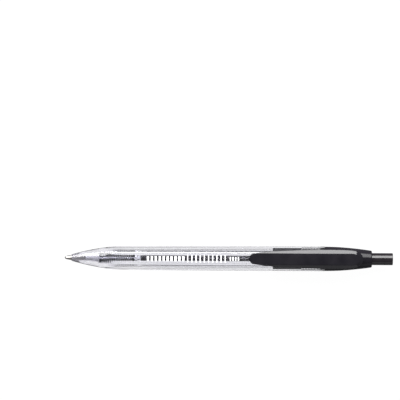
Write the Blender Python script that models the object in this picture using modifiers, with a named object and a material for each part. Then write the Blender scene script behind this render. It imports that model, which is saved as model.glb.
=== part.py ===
"""Retractable ballpoint pen with a clear hexagonal barrel, a black cap, a clip and a click mechanism.

Metres, +Z up. The pen lies along X on the flat of its barrel, tip towards -X, clip on top. The origin is
on the resting surface under the middle of the pen's length. Places along the pen are stations: distances
from the writing tip. Heights and radii of the parts are counted from the pen's axis.
"""

from math import asin, cos, pi, radians, sin, sqrt

import bmesh
import bpy
from mathutils import Matrix

MM = 0.001

# Whole pen, in the writing state
LENGTH = 142.0 * MM
RUNNING_GAP = 0.05 * MM
CLIP_GAP = 0.15 * MM
CHAMFER = 0.2 * MM
RAMP = 0.4 * MM
ROOT_OVERLAP = 0.4 * MM
CUT_BEYOND = 1.0 * MM

# Hexagonal section of the barrel and the front of the cap
CORNER_RADIUS = 1.2 * MM
HALF_CORNERS = 5.3 * MM
HALF_CORNERS_GRIP = 5.085 * MM
APOTHEM = (HALF_CORNERS - CORNER_RADIUS) * cos(pi / 6) + CORNER_RADIUS
AXIS_HEIGHT = APOTHEM

# Barrel stations
NOSE_RIM = 3.0 * MM
NOSE_RIM_RADIUS = 1.45 * MM
NOSE_END = 27.0 * MM
NOSE_END_RADIUS = 5.25 * MM
NOSE_FULLNESS = 1.78
GRIP_START = 24.5 * MM
GRIP_END = 58.5 * MM
BARREL_END = 112.6 * MM

# Barrel bore
GUIDE_RADIUS = 1.3 * MM
NECK_POCKET = 11.5 * MM
NECK_POCKET_RADIUS = 1.75 * MM
SPRING_SEAT = 14.7 * MM
SPRING_SEAT_RADIUS = 2.45 * MM
BORE_START = 22.0 * MM
BORE_RADIUS = 3.45 * MM
COUNTERBORE_START = 102.7 * MM
COUNTERBORE_RADIUS = 3.78 * MM

# Tail cap
CAP_END = 132.9 * MM
CAP_END_RADIUS = 3.62 * MM
CAP_TAPER = 1.8
CAP_RIM_ROUND = 0.5 * MM
CAP_BORE_END = 126.5 * MM
CAP_BORE_RADIUS = 3.76 * MM

# Button
BUTTON_RADIUS = 2.6 * MM
BUTTON_EDGE = 0.45 * MM
BUTTON_BODY_START = 121.2 * MM
BUTTON_SHOULDER_START = 119.8 * MM
BUTTON_SHOULDER_RADIUS = 2.95 * MM
BUTTON_STEM_START = 111.9 * MM
BUTTON_BORE_RADIUS = 1.25 * MM
BUTTON_BORE_END = 136.0 * MM
LUG_START = 112.8 * MM
LUG_END = 115.0 * MM
LUG_WIDTH = 1.1 * MM

# Click mechanism
STEM_RADIUS = 2.1 * MM
FIN_RADIUS = 2.95 * MM
FIN_WIDTH = 0.73 * MM
FIN_START = 106.6 * MM
LATCH_STATION = 109.6 * MM
LATCH_GAP = 0.4 * MM
RIB_WIDTH = 0.46 * MM
RIB_INNER_RADIUS = 2.2 * MM
RIB_END = 118.5 * MM
GUIDES = 4
CLICK_TURN = radians(45.0)
CLICK_TRAVEL = 6.5 * MM
CAM_START = 105.05 * MM
CAM_END = 110.6 * MM
CAM_PIN_RADIUS = 1.1 * MM
CAM_PIN_END = 113.6 * MM
CAM_SOCKET_DEPTH = 1.6 * MM
CROWN_DEPTH = 0.7 * MM
CROWN_CUT_LENGTH = 8.0 * MM

# Guide sleeve
SLEEVE_START = 90.0 * MM
SLEEVE_END = 126.3 * MM
SLEEVE_RADIUS = 3.38 * MM
SLEEVE_BORE_RADIUS = 2.65 * MM
SLEEVE_WIDE_START = 103.0 * MM
SLEEVE_WIDE_BORE_START = 104.6 * MM
SLEEVE_WIDE_BORE_RADIUS = 3.05 * MM
RIDGE_RADIUS = 3.72 * MM
RIDGE_ROOT_RADIUS = 3.48 * MM
RIDGE_PITCH = 1.2 * MM
RIDGE_CREST = 0.2
RIDGE_BACK = 0.5
RIDGES = 8

# Refill
BALL_RADIUS = 0.5 * MM
BALL_GAP = 0.03 * MM
CONE_RIM = 0.36 * MM
CONE_RIM_RADIUS = 0.6 * MM
CONE_SHOULDER = 2.9 * MM
TIP_RADIUS = 1.15 * MM
TIP_END = 9.1 * MM
TIP_PIN_RADIUS = 0.7 * MM
TIP_PIN_END = 12.5 * MM
NECK_FRONT_RADIUS = 1.2 * MM
NECK_COLLAR_START = 13.2 * MM
NECK_COLLAR_END = 14.7 * MM
NECK_COLLAR_RADIUS = 1.6 * MM
NECK_RADIUS = 1.65 * MM
FLANGE_START = 30.4 * MM
FLANGE_END = 31.4 * MM
FLANGE_RADIUS = 2.25 * MM
PLUG_END = 32.8 * MM
TUBE_RADIUS = 2.0 * MM
TUBE_BORE_RADIUS = 1.55 * MM
TUBE_END = 105.0 * MM
INK_END = 94.0 * MM
FOLLOWER_END = 96.5 * MM

# Spring
WIRE_RADIUS = 0.25 * MM
COIL_RADIUS = 2.05 * MM
CLOSED_COIL_GAP = 0.06 * MM
COILS = 20
CLOSED_COILS = 1.5
POINTS_PER_COIL = 12

# Clip
CLIP_START = 79.7 * MM
CLIP_END = 129.0 * MM
CLIP_FRONT_ROUND = 2.0 * MM
CLIP_REAR_ROUND = 3.4 * MM
CLIP_FACE_HALF = 2.45 * MM
CLIP_SIDE_MIN = 0.15 * MM
CLIP_BEVEL_FALL = 0.66
CLIP_WALL_HEIGHT_MIN = 0.3 * MM
CLIP_CROWN = 0.12 * MM
CLIP_PLAN = [(79.7, 2.1), (88.8, 3.2), (101.8, 3.96), (114.0, 4.2), (124.0, 3.9), (129.0, 3.0)]
CLIP_TOP = [(79.7, 6.9), (84.0, 7.4), (94.0, 8.1), (106.0, 8.6), (116.0, 8.6), (125.0, 8.0), (129.0, 6.4)]
CLIP_BOTTOM = [(79.7, 6.2), (90.0, 5.95), (104.0, 5.6), (114.0, 5.0), (121.0, 4.2), (129.0, 3.3)]
CLIP_WALL = 1.0 * MM
CLIP_ROOF = 1.6 * MM
CLIP_HOLLOW_START = 90.0 * MM
CLIP_HOLLOW_END = 119.0 * MM
CLIP_SADDLE_START = 109.0 * MM
CLIP_END_SLIVER = 0.05 * MM
CLIP_HINGE = 128.6 * MM
CLIP_HINGE_HEIGHT = 4.15 * MM
FOOT_STATION = 83.8 * MM
FOOT_LENGTH = 3.2 * MM
FOOT_WIDTH = 3.4 * MM
FOOT_EDGE = 0.4 * MM

# Facets
ROUND_STEPS = 32
SMALL_STEPS = 20
BODY_STEPS = 48
ARC_STEPS = 4
NOSE_STEPS = 14
TAPER_STEPS = 9
RIM_STEPS = 3
EDGE_STEPS = 4
SOCKET_STEPS = 6
CLIP_STEPS = 24
HOLLOW_STEPS = 8


def remove_all_objects():
    for thing in list(bpy.data.objects):
        bpy.data.objects.remove(thing, do_unlink=True)


def make_collection(name):
    collection = bpy.data.collections.new(name)
    bpy.context.scene.collection.children.link(collection)
    return collection


def make_material(name, colour, roughness, metallic=0.0, alpha=1.0):
    material = bpy.data.materials.new(name)
    material.use_nodes = True
    shader = material.node_tree.nodes["Principled BSDF"]
    shader.inputs["Base Color"].default_value = (*colour, 1.0)
    shader.inputs["Roughness"].default_value = roughness
    shader.inputs["Metallic"].default_value = metallic
    shader.inputs["Alpha"].default_value = alpha
    return material


def smooth_through(points, station):
    """Value at a station on a smooth curve through (station mm, value mm) points."""
    at = station / MM
    at = min(max(at, points[0][0]), points[-1][0])
    for i in range(len(points) - 1):
        if at <= points[i + 1][0]:
            break
    x0, y0 = points[i]
    x1, y1 = points[i + 1]
    before = points[max(i - 1, 0)]
    after = points[min(i + 2, len(points) - 1)]
    slope0 = (y1 - before[1]) / (x1 - before[0])
    slope1 = (after[1] - y0) / (after[0] - x0)
    width = x1 - x0
    t = (at - x0) / width
    value = (
        (2 * t**3 - 3 * t**2 + 1) * y0
        + (t**3 - 2 * t**2 + t) * width * slope0
        + (3 * t**2 - 2 * t**3) * y1
        + (t**3 - t**2) * width * slope1
    )
    return value * MM


def add_object(name, mesh, collection, material=None, parent=None):
    thing = bpy.data.objects.new(name, mesh)
    collection.objects.link(thing)
    thing.parent = parent
    if material:
        mesh.materials.append(material)
    return thing


def make_cutter(thing):
    thing.hide_render = True
    thing.display_type = "WIRE"


def boolean(target, other, operation):
    modifier = target.modifiers.new(other.name, "BOOLEAN")
    modifier.operation = operation
    modifier.object = other


def turned(name, profile, collection, parent, material=None, closed=False, steps=ROUND_STEPS):
    """Solid of revolution about the pen's axis.

    The profile is a list of (station, radius) points that runs down the outer side from the rear to the
    front. An open profile starts and ends on the axis. A closed one returns along its bore.
    """
    mesh = bpy.data.meshes.new(name)
    vertices = [(radius, 0.0, station) for station, radius in profile]
    edges = [(i, i + 1) for i in range(len(vertices) - 1)]
    if closed:
        edges.append((len(vertices) - 1, 0))
    mesh.from_pydata(vertices, edges, [])
    thing = add_object(name, mesh, collection, material, parent)
    thing.rotation_euler = (0.0, pi / 2, 0.0)
    screw = thing.modifiers.new("turn", "SCREW")
    screw.steps = steps
    screw.render_steps = steps
    screw.use_merge_vertices = True
    screw.merge_threshold = 1e-6
    return thing


def loft(name, rings, collection, parent, material=None):
    """Closed skin through rings of points that all have the same number of points."""
    mesh = bpy.data.meshes.new(name)
    bm = bmesh.new()
    rows = [[bm.verts.new(point) for point in ring] for ring in rings]
    count = len(rows[0])
    for near, far in zip(rows, rows[1:]):
        for i in range(count):
            j = (i + 1) % count
            bm.faces.new((near[i], near[j], far[j], far[i]))
    bm.faces.new(rows[0])
    bm.faces.new(rows[-1])
    bmesh.ops.recalc_face_normals(bm, faces=bm.faces)
    bm.to_mesh(mesh)
    bm.free()
    return add_object(name, mesh, collection, material, parent)


def shade_round(thing):
    thing.data.shade_smooth()
    thing.data.set_sharp_from_angle(angle=radians(35))


def hexagon_ring(station, half_corners, grow=0.0):
    """Rounded hexagon round the axis, with flats facing up and down."""
    reach = half_corners - CORNER_RADIUS
    ring = []
    for corner in range(6):
        for i in range(ARC_STEPS + 1):
            turn = corner * pi / 3 + (i / ARC_STEPS - 0.5) * pi / 3
            y = reach * cos(corner * pi / 3) + (CORNER_RADIUS + grow) * cos(turn)
            z = reach * sin(corner * pi / 3) + (CORNER_RADIUS + grow) * sin(turn)
            ring.append((station, y, z))
    return ring


def curve_steps(start, end, steps):
    return [start + (end - start) * i / steps for i in range(steps + 1)]


def nose_radius(station):
    """Ogive that the nose is turned to."""
    t = (station - NOSE_RIM) / (NOSE_END - NOSE_RIM)
    return NOSE_RIM_RADIUS + (NOSE_END_RADIUS - NOSE_RIM_RADIUS) * (1 - (1 - t) ** NOSE_FULLNESS)


def cap_radius(station):
    """Taper that the rear of the cap is turned to."""
    t = (station - BARREL_END) / (CAP_END - BARREL_END)
    return HALF_CORNERS - (HALF_CORNERS - CAP_END_RADIUS) * t**CAP_TAPER


def build_barrel(parts, cutters, axis, material):
    """Hexagonal tube whose nose is turned to an ogive, so that its flats fade out in arcs."""
    rings = [
        hexagon_ring(NOSE_RIM, HALF_CORNERS_GRIP),
        hexagon_ring(GRIP_START, HALF_CORNERS_GRIP),
        hexagon_ring(GRIP_END, HALF_CORNERS),
        hexagon_ring(BARREL_END, HALF_CORNERS),
    ]
    barrel = loft("barrel", rings, parts, axis, material)
    clear_of_corners = HALF_CORNERS + CUT_BEYOND
    envelope = [(BARREL_END + CUT_BEYOND, 0.0), (BARREL_END + CUT_BEYOND, clear_of_corners)]
    envelope.append((NOSE_END + CUT_BEYOND, clear_of_corners))
    envelope += [(s, nose_radius(s)) for s in reversed(curve_steps(NOSE_RIM, NOSE_END, NOSE_STEPS))]
    envelope += [(NOSE_RIM - CUT_BEYOND, nose_radius(NOSE_RIM)), (NOSE_RIM - CUT_BEYOND, 0.0)]
    ogive = turned("nose_ogive", envelope, cutters, axis, steps=BODY_STEPS)
    make_cutter(ogive)
    boolean(barrel, ogive, "INTERSECT")
    bore = turned(
        "barrel_bore",
        [
            (BARREL_END + CUT_BEYOND, 0.0),
            (BARREL_END + CUT_BEYOND, COUNTERBORE_RADIUS),
            (COUNTERBORE_START, COUNTERBORE_RADIUS),
            (COUNTERBORE_START - CHAMFER, BORE_RADIUS),
            (BORE_START, BORE_RADIUS),
            (SPRING_SEAT, SPRING_SEAT_RADIUS),
            (SPRING_SEAT, NECK_POCKET_RADIUS),
            (NECK_POCKET, NECK_POCKET_RADIUS),
            (NECK_POCKET - RAMP, GUIDE_RADIUS),
            (NOSE_RIM - CUT_BEYOND, GUIDE_RADIUS),
            (NOSE_RIM - CUT_BEYOND, 0.0),
        ],
        cutters,
        axis,
    )
    make_cutter(bore)
    boolean(barrel, bore, "DIFFERENCE")
    shade_round(barrel)


def cap_body(name, start, grow, collection, cutters, axis, material=None):
    """Outside of the cap: a hexagon turned to a taper with a rounded rear rim, grown by a clearance."""
    rings = [hexagon_ring(start, HALF_CORNERS, grow), hexagon_ring(CAP_END, HALF_CORNERS, grow)]
    body = loft(name, rings, collection, axis, material)
    straight_end = CAP_END - CAP_RIM_ROUND
    rim_radius = cap_radius(straight_end) - CAP_RIM_ROUND
    profile = [(CAP_END + CUT_BEYOND, 0.0), (CAP_END + CUT_BEYOND, rim_radius + grow)]
    for i in range(RIM_STEPS):
        turn = pi / 2 * i / RIM_STEPS
        radius = rim_radius + grow + CAP_RIM_ROUND * sin(turn)
        profile.append((straight_end + CAP_RIM_ROUND * cos(turn), radius))
    taper_stations = curve_steps(BARREL_END, straight_end, TAPER_STEPS)
    profile += [(s, cap_radius(s) + grow) for s in reversed(taper_stations)]
    profile += [(start - CUT_BEYOND, HALF_CORNERS + grow), (start - CUT_BEYOND, 0.0)]
    taper = turned(f"{name}_taper", profile, cutters, axis, steps=BODY_STEPS)
    make_cutter(taper)
    boolean(body, taper, "INTERSECT")
    return body


def build_tail_cap(parts, cutters, axis, material):
    cap = cap_body("tail_cap", BARREL_END + RUNNING_GAP, 0.0, parts, cutters, axis, material)
    bore = turned(
        "cap_bore",
        [
            (CAP_END + CUT_BEYOND, 0.0),
            (CAP_END + CUT_BEYOND, BUTTON_RADIUS + RUNNING_GAP),
            (CAP_BORE_END, BUTTON_RADIUS + RUNNING_GAP),
            (CAP_BORE_END, CAP_BORE_RADIUS),
            (BARREL_END - CUT_BEYOND, CAP_BORE_RADIUS),
            (BARREL_END - CUT_BEYOND, 0.0),
        ],
        cutters,
        axis,
    )
    make_cutter(bore)
    boolean(cap, bore, "DIFFERENCE")
    shade_round(cap)


def sheared_bar(name, start, end, inner, outer, width, slope, slope_at_end, turn, collection, parent):
    """Bar that runs along the pen between two radii, with one slanted end.

    The bar stands on the +Y side and is turned about the axis. Its slanted end climbs towards the rear by
    slope for each unit of width.
    """
    mesh = bpy.data.meshes.new(name)
    bm = bmesh.new()
    bmesh.ops.create_cube(bm, size=1.0)
    bm.transform(Matrix.Diagonal((end - start, outer - inner, width, 1.0)))
    bm.transform(Matrix.Translation(((start + end) / 2, (outer + inner) / 2, 0.0)))
    middle = (start + end) / 2
    for vertex in bm.verts:
        if (vertex.co.x > middle) == slope_at_end:
            vertex.co.x += slope * vertex.co.z
    bm.to_mesh(mesh)
    bm.free()
    bar = add_object(name, mesh, collection, None, parent)
    bar.rotation_euler = (turn, 0.0, 0.0)
    make_cutter(bar)
    return bar


def latch_slope():
    """Climb of the cam's helical ramps for each unit of width, at the middle of the fins."""
    middle_radius = (STEM_RADIUS + FIN_RADIUS) / 2
    return CLICK_TRAVEL / CLICK_TURN / middle_radius


def cut_crown(thing, station, turn, cutters, parent):
    """V-shaped teeth round an end face, cut by square bars that lie across the axis on their edges."""
    side = CROWN_DEPTH * sqrt(2)
    for i in range(GUIDES):
        mesh = bpy.data.meshes.new(f"{thing.name}_notch")
        bm = bmesh.new()
        bmesh.ops.create_cube(bm, size=1.0)
        bm.transform(Matrix.Diagonal((side, CROWN_CUT_LENGTH, side, 1.0)))
        bm.transform(Matrix.Rotation(pi / 4, 4, "Y"))
        bm.to_mesh(mesh)
        bm.free()
        bar = add_object(f"{thing.name}_notch_{i + 1}", mesh, cutters, None, parent)
        bar.location = (station, 0.0, 0.0)
        bar.rotation_euler = (turn + pi * i / GUIDES, 0.0, 0.0)
        make_cutter(bar)
        boolean(thing, bar, "DIFFERENCE")


def build_guide_sleeve(parts, cutters, axis, material):
    """Insert that joins cap and barrel and carries the four ribs of the click mechanism."""
    outer = [(SLEEVE_END, SLEEVE_WIDE_BORE_RADIUS), (SLEEVE_END, RIDGE_RADIUS)]
    ridges_end = SLEEVE_WIDE_START + RIDGES * RIDGE_PITCH
    outer.append((ridges_end, RIDGE_RADIUS))
    for i in reversed(range(RIDGES)):
        start = SLEEVE_WIDE_START + i * RIDGE_PITCH
        outer.append((start + RIDGE_BACK * RIDGE_PITCH, RIDGE_ROOT_RADIUS))
        outer.append((start + RIDGE_CREST * RIDGE_PITCH, RIDGE_RADIUS))
        outer.append((start, RIDGE_ROOT_RADIUS))
    outer += [
        (SLEEVE_WIDE_START - CHAMFER, SLEEVE_RADIUS),
        (SLEEVE_START, SLEEVE_RADIUS),
        (SLEEVE_START, SLEEVE_BORE_RADIUS),
        (SLEEVE_WIDE_BORE_START, SLEEVE_BORE_RADIUS),
        (SLEEVE_WIDE_BORE_START + RAMP, SLEEVE_WIDE_BORE_RADIUS),
    ]
    sleeve = turned("guide_sleeve", outer, parts, axis, material, closed=True)
    for i in range(GUIDES):
        rib = sheared_bar(
            f"sleeve_rib_{i + 1}",
            LATCH_STATION + LATCH_GAP,
            RIB_END,
            RIB_INNER_RADIUS,
            SLEEVE_WIDE_BORE_RADIUS + ROOT_OVERLAP / 2,
            RIB_WIDTH,
            latch_slope(),
            False,
            2 * pi * i / GUIDES,
            cutters,
            axis,
        )
        boolean(sleeve, rib, "UNION")


def build_rotary_cam(parts, cutters, axis, material):
    """Latch that turns at each click, with slanted fins, crown teeth and a pin that fills its end socket."""
    pin_root = CAM_END - CAM_SOCKET_DEPTH
    cam = turned(
        "rotary_cam",
        [
            (pin_root, 0.0),
            (pin_root, CAM_PIN_RADIUS / 2),
            (CAM_END, CAM_PIN_RADIUS / 2),
            (CAM_END, STEM_RADIUS),
            (CAM_START + CHAMFER, STEM_RADIUS),
            (CAM_START, STEM_RADIUS - CHAMFER),
            (CAM_START, 0.0),
        ],
        parts,
        axis,
        material,
    )
    cut_crown(cam, CAM_END, pi / 8, cutters, axis)
    for i in range(GUIDES):
        fin = sheared_bar(
            f"cam_fin_{i + 1}",
            FIN_START,
            LATCH_STATION,
            STEM_RADIUS - ROOT_OVERLAP,
            FIN_RADIUS,
            FIN_WIDTH,
            latch_slope(),
            True,
            2 * pi * i / GUIDES,
            cutters,
            axis,
        )
        boolean(cam, fin, "UNION")
    pin = turned(
        "cam_pin",
        [
            (CAM_PIN_END, 0.0),
            (CAM_PIN_END, CAM_PIN_RADIUS - CHAMFER),
            (CAM_PIN_END - CHAMFER, CAM_PIN_RADIUS),
            (pin_root - ROOT_OVERLAP, CAM_PIN_RADIUS),
            (pin_root - ROOT_OVERLAP, 0.0),
        ],
        cutters,
        axis,
        steps=SMALL_STEPS,
    )
    make_cutter(pin)
    boolean(cam, pin, "UNION")


def build_push_button(parts, cutters, axis, material):
    """Button with its stem in one piece: crown teeth in front, four lugs, a stop shoulder, a blind bore."""
    profile = [(LENGTH, 0.0)]
    for i in range(EDGE_STEPS + 1):
        turn = pi / 2 * i / EDGE_STEPS
        station = LENGTH - BUTTON_EDGE * (1 - cos(turn))
        radius = BUTTON_RADIUS - BUTTON_EDGE * (1 - sin(turn))
        profile.append((station, radius))
    profile += [
        (BUTTON_BODY_START, BUTTON_RADIUS),
        (BUTTON_BODY_START, BUTTON_SHOULDER_RADIUS),
        (BUTTON_SHOULDER_START, BUTTON_SHOULDER_RADIUS),
        (BUTTON_SHOULDER_START, STEM_RADIUS),
        (BUTTON_STEM_START, STEM_RADIUS),
        (BUTTON_STEM_START, BUTTON_BORE_RADIUS),
        (BUTTON_BORE_END, BUTTON_BORE_RADIUS),
        (BUTTON_BORE_END, 0.0),
    ]
    button = turned("push_button", profile, parts, axis, material)
    cut_crown(button, BUTTON_STEM_START, 0.0, cutters, axis)
    for i in range(GUIDES):
        lug = sheared_bar(
            f"button_lug_{i + 1}",
            LUG_START,
            LUG_END,
            STEM_RADIUS - ROOT_OVERLAP,
            FIN_RADIUS,
            LUG_WIDTH,
            0.0,
            True,
            pi / GUIDES + 2 * pi * i / GUIDES,
            cutters,
            axis,
        )
        boolean(button, lug, "UNION")


def build_tip(parts, axis, metal, ball_metal):
    """Metal point with its ball socket, and the ball."""
    socket_radius = BALL_RADIUS + BALL_GAP
    rim_turn = asin((BALL_RADIUS - CONE_RIM) / socket_radius)
    profile = [
        (TIP_PIN_END, 0.0),
        (TIP_PIN_END, TIP_PIN_RADIUS),
        (TIP_END, TIP_PIN_RADIUS),
        (TIP_END, TIP_RADIUS),
        (CONE_SHOULDER, TIP_RADIUS),
        (CONE_RIM, CONE_RIM_RADIUS),
    ]
    for i in range(SOCKET_STEPS + 1):
        turn = -rim_turn + (pi / 2 + rim_turn) * i / SOCKET_STEPS
        station = BALL_RADIUS + socket_radius * sin(turn)
        radius = socket_radius * cos(turn) if i < SOCKET_STEPS else 0.0
        profile.append((station, radius))
    cone = turned("tip_cone", profile, parts, axis, metal, steps=SMALL_STEPS)
    shade_round(cone)

    mesh = bpy.data.meshes.new("tip_ball")
    bm = bmesh.new()
    bmesh.ops.create_uvsphere(bm, u_segments=16, v_segments=10, radius=BALL_RADIUS)
    bm.to_mesh(mesh)
    bm.free()
    ball = add_object("tip_ball", mesh, parts, ball_metal, axis)
    ball.location = (BALL_RADIUS, 0.0, 0.0)
    ball.rotation_euler = (0.0, pi / 2, 0.0)
    ball.data.shade_smooth()


def build_refill(parts, axis, plastic, tube_plastic, ink, grease):
    neck = turned(
        "refill_neck",
        [
            (PLUG_END, 0.0),
            (PLUG_END, TUBE_BORE_RADIUS - RUNNING_GAP),
            (FLANGE_END, TUBE_BORE_RADIUS - RUNNING_GAP),
            (FLANGE_END, FLANGE_RADIUS),
            (FLANGE_START, FLANGE_RADIUS),
            (FLANGE_START, NECK_RADIUS),
            (NECK_COLLAR_END, NECK_RADIUS),
            (NECK_COLLAR_START, NECK_COLLAR_RADIUS),
            (NECK_COLLAR_START, NECK_FRONT_RADIUS),
            (TIP_END + RUNNING_GAP, NECK_FRONT_RADIUS),
            (TIP_END + RUNNING_GAP, TIP_PIN_RADIUS + RUNNING_GAP),
            (TIP_PIN_END + RUNNING_GAP, TIP_PIN_RADIUS + RUNNING_GAP),
            (TIP_PIN_END + RUNNING_GAP, 0.0),
        ],
        parts,
        axis,
        plastic,
    )
    shade_round(neck)
    turned(
        "refill_tube",
        [
            (TUBE_END, TUBE_BORE_RADIUS),
            (TUBE_END, TUBE_RADIUS),
            (FLANGE_END + RUNNING_GAP, TUBE_RADIUS),
            (FLANGE_END + RUNNING_GAP, TUBE_BORE_RADIUS),
        ],
        parts,
        axis,
        tube_plastic,
        closed=True,
    )
    fill_radius = TUBE_BORE_RADIUS - RUNNING_GAP
    plug(parts, "ink_column", PLUG_END + RUNNING_GAP, INK_END, fill_radius, axis, ink)
    plug(parts, "grease_follower", INK_END + RUNNING_GAP, FOLLOWER_END, fill_radius, axis, grease)


def plug(parts, name, start, end, radius, axis, material):
    turned(name, [(end, 0.0), (end, radius), (start, radius), (start, 0.0)], parts, axis, material)


def build_spring(parts, axis, material):
    """Compression spring with closed end coils, from its seat in the barrel to the refill's flange."""
    closed_pitch = 2 * WIRE_RADIUS + CLOSED_COIL_GAP
    start = SPRING_SEAT + WIRE_RADIUS + RUNNING_GAP
    end = FLANGE_START - WIRE_RADIUS - RUNNING_GAP
    open_coils = COILS - 2 * CLOSED_COILS
    open_pitch = (end - start - 2 * CLOSED_COILS * closed_pitch) / open_coils
    curve = bpy.data.curves.new("spring", "CURVE")
    curve.dimensions = "3D"
    curve.bevel_depth = WIRE_RADIUS
    curve.bevel_resolution = 2
    curve.use_fill_caps = True
    count = COILS * POINTS_PER_COIL + 1
    spline = curve.splines.new("POLY")
    spline.points.add(count - 1)
    station = start
    for i in range(count):
        coil = i / POINTS_PER_COIL
        angle = 2 * pi * coil
        place = (station, COIL_RADIUS * cos(angle), -COIL_RADIUS * sin(angle))
        spline.points[i].co = (*place, 1.0)
        closed = coil < CLOSED_COILS or coil >= COILS - CLOSED_COILS
        station += (closed_pitch if closed else open_pitch) / POINTS_PER_COIL
    curve.materials.append(material)
    spring = bpy.data.objects.new("spring", curve)
    parts.objects.link(spring)
    spring.parent = axis


def clip_round_end(station):
    """Share of the clip's width that its rounded ends leave at a station."""
    from_front = min(station - CLIP_START, CLIP_FRONT_ROUND)
    from_rear = min(CLIP_END - station, CLIP_REAR_ROUND)
    front = sqrt(1 - (1 - from_front / CLIP_FRONT_ROUND) ** 2)
    rear = sqrt(1 - (1 - from_rear / CLIP_REAR_ROUND) ** 2)
    return front * rear


def clip_ring(station, inset=0.0, drop=0.0, roof=0.0):
    """One section of the clip: up its left wall and bevel, over its crowned face, down the right side."""
    rounding = clip_round_end(station)
    half_plan = smooth_through(CLIP_PLAN, station) * rounding - inset
    half_face = min(half_plan - CLIP_SIDE_MIN * rounding, CLIP_FACE_HALF - inset)
    top = smooth_through(CLIP_TOP, station) - roof
    bottom = smooth_through(CLIP_BOTTOM, station) - drop
    edge = top - CLIP_CROWN
    bevel_foot = edge - (half_plan - half_face) * CLIP_BEVEL_FALL
    shoulder = max(bevel_foot, bottom + CLIP_WALL_HEIGHT_MIN)
    points = [
        (-half_plan, bottom),
        (-half_plan, shoulder),
        (-half_face, edge),
        (-half_face / 2, top - CLIP_CROWN / 4),
        (0.0, top),
        (half_face / 2, top - CLIP_CROWN / 4),
        (half_face, edge),
        (half_plan, shoulder),
        (half_plan, bottom),
    ]
    return [(station - CLIP_HINGE, y, z - CLIP_HINGE_HEIGHT) for y, z in points]


def clip_stations(start, end, steps):
    """Stations that crowd towards both ends, where the outline turns fastest."""
    middle = (start + end) / 2
    half = (end - start) / 2
    return [middle - half * cos(pi * i / steps) for i in range(steps + 1)]


def build_clip(parts, cutters, axis, material):
    stations = clip_stations(CLIP_START + CLIP_END_SLIVER, CLIP_END - CLIP_END_SLIVER, CLIP_STEPS)
    clip = loft("clip", [clip_ring(s) for s in stations], parts, axis, material)
    clip.location = (CLIP_HINGE, 0.0, CLIP_HINGE_HEIGHT)

    hollow_stations = clip_stations(CLIP_HOLLOW_START, CLIP_HOLLOW_END, HOLLOW_STEPS)
    hollow_rings = [clip_ring(s, CLIP_WALL, CUT_BEYOND, CLIP_ROOF) for s in hollow_stations]
    hollow = loft("clip_hollow", hollow_rings, cutters, axis)
    hollow.location = clip.location
    make_cutter(hollow)
    boolean(clip, hollow, "DIFFERENCE")

    foot_top = smooth_through(CLIP_BOTTOM, FOOT_STATION) + ROOT_OVERLAP
    foot_bottom = APOTHEM + CLIP_GAP
    mesh = bpy.data.meshes.new("clip_foot")
    bm = bmesh.new()
    bmesh.ops.create_cube(bm, size=1.0)
    bm.transform(Matrix.Diagonal((FOOT_LENGTH, FOOT_WIDTH, foot_top - foot_bottom, 1.0)))
    bmesh.ops.bevel(
        bm,
        geom=[e for e in bm.edges if all(v.co.z < 0 for v in e.verts)],
        offset=FOOT_EDGE,
        segments=2,
        affect="EDGES",
    )
    bm.to_mesh(mesh)
    bm.free()
    foot = add_object("clip_foot", mesh, cutters, None, axis)
    foot.location = (FOOT_STATION, 0.0, (foot_top + foot_bottom) / 2)
    make_cutter(foot)
    boolean(clip, foot, "UNION")

    room = cap_body("clip_saddle", CLIP_SADDLE_START, CLIP_GAP, cutters, cutters, axis)
    make_cutter(room)
    boolean(clip, room, "DIFFERENCE")
    shade_round(clip)


def build_pen():
    remove_all_objects()
    parts = make_collection("retractable_ballpoint_pen")
    cutters = make_collection("cutters")
    axis = bpy.data.objects.new("pen_axis", None)
    parts.objects.link(axis)
    axis.location = (-LENGTH / 2, 0.0, AXIS_HEIGHT)

    clear = make_material("clear_barrel", (0.93, 0.93, 0.95), 0.05, alpha=0.25)
    cap_black = make_material("black_cap", (0.012, 0.011, 0.014), 0.16)
    clip_black = make_material("black_clip", (0.014, 0.012, 0.016), 0.14)
    button_black = make_material("black_button", (0.016, 0.013, 0.016), 0.2)
    sleeve_black = make_material("black_sleeve", (0.015, 0.015, 0.017), 0.35)
    cam_plastic = make_material("cam_plastic", (0.75, 0.75, 0.73), 0.4)
    neck_plastic = make_material("neck_plastic", (0.85, 0.86, 0.88), 0.3)
    tube_plastic = make_material("tube_plastic", (0.8, 0.81, 0.83), 0.2, alpha=0.5)
    ink = make_material("black_ink", (0.006, 0.006, 0.008), 0.25)
    grease = make_material("clear_grease", (0.78, 0.74, 0.6), 0.3)
    nickel = make_material("tip_metal", (0.62, 0.6, 0.57), 0.25, metallic=1.0)
    carbide = make_material("ball_metal", (0.4, 0.4, 0.42), 0.12, metallic=1.0)
    steel = make_material("spring_steel", (0.5, 0.5, 0.52), 0.25, metallic=1.0)

    build_barrel(parts, cutters, axis, clear)
    build_tail_cap(parts, cutters, axis, cap_black)
    build_guide_sleeve(parts, cutters, axis, sleeve_black)
    build_push_button(parts, cutters, axis, button_black)
    build_rotary_cam(parts, cutters, axis, cam_plastic)
    build_tip(parts, axis, nickel, carbide)
    build_refill(parts, axis, neck_plastic, tube_plastic, ink, grease)
    build_spring(parts, axis, steel)
    build_clip(parts, cutters, axis, clip_black)


build_pen()
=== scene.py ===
"""Looks, light and camera for the retractable ballpoint pen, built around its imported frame.

Metres, +Z up, the frame's own axes. Places along the pen are stations, in millimetres from the writing
tip. Heights, widths and radii are counted from the pen's axis, also in millimetres.
"""

from math import asin, cos, hypot, pi, radians, sin, sqrt

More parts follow.
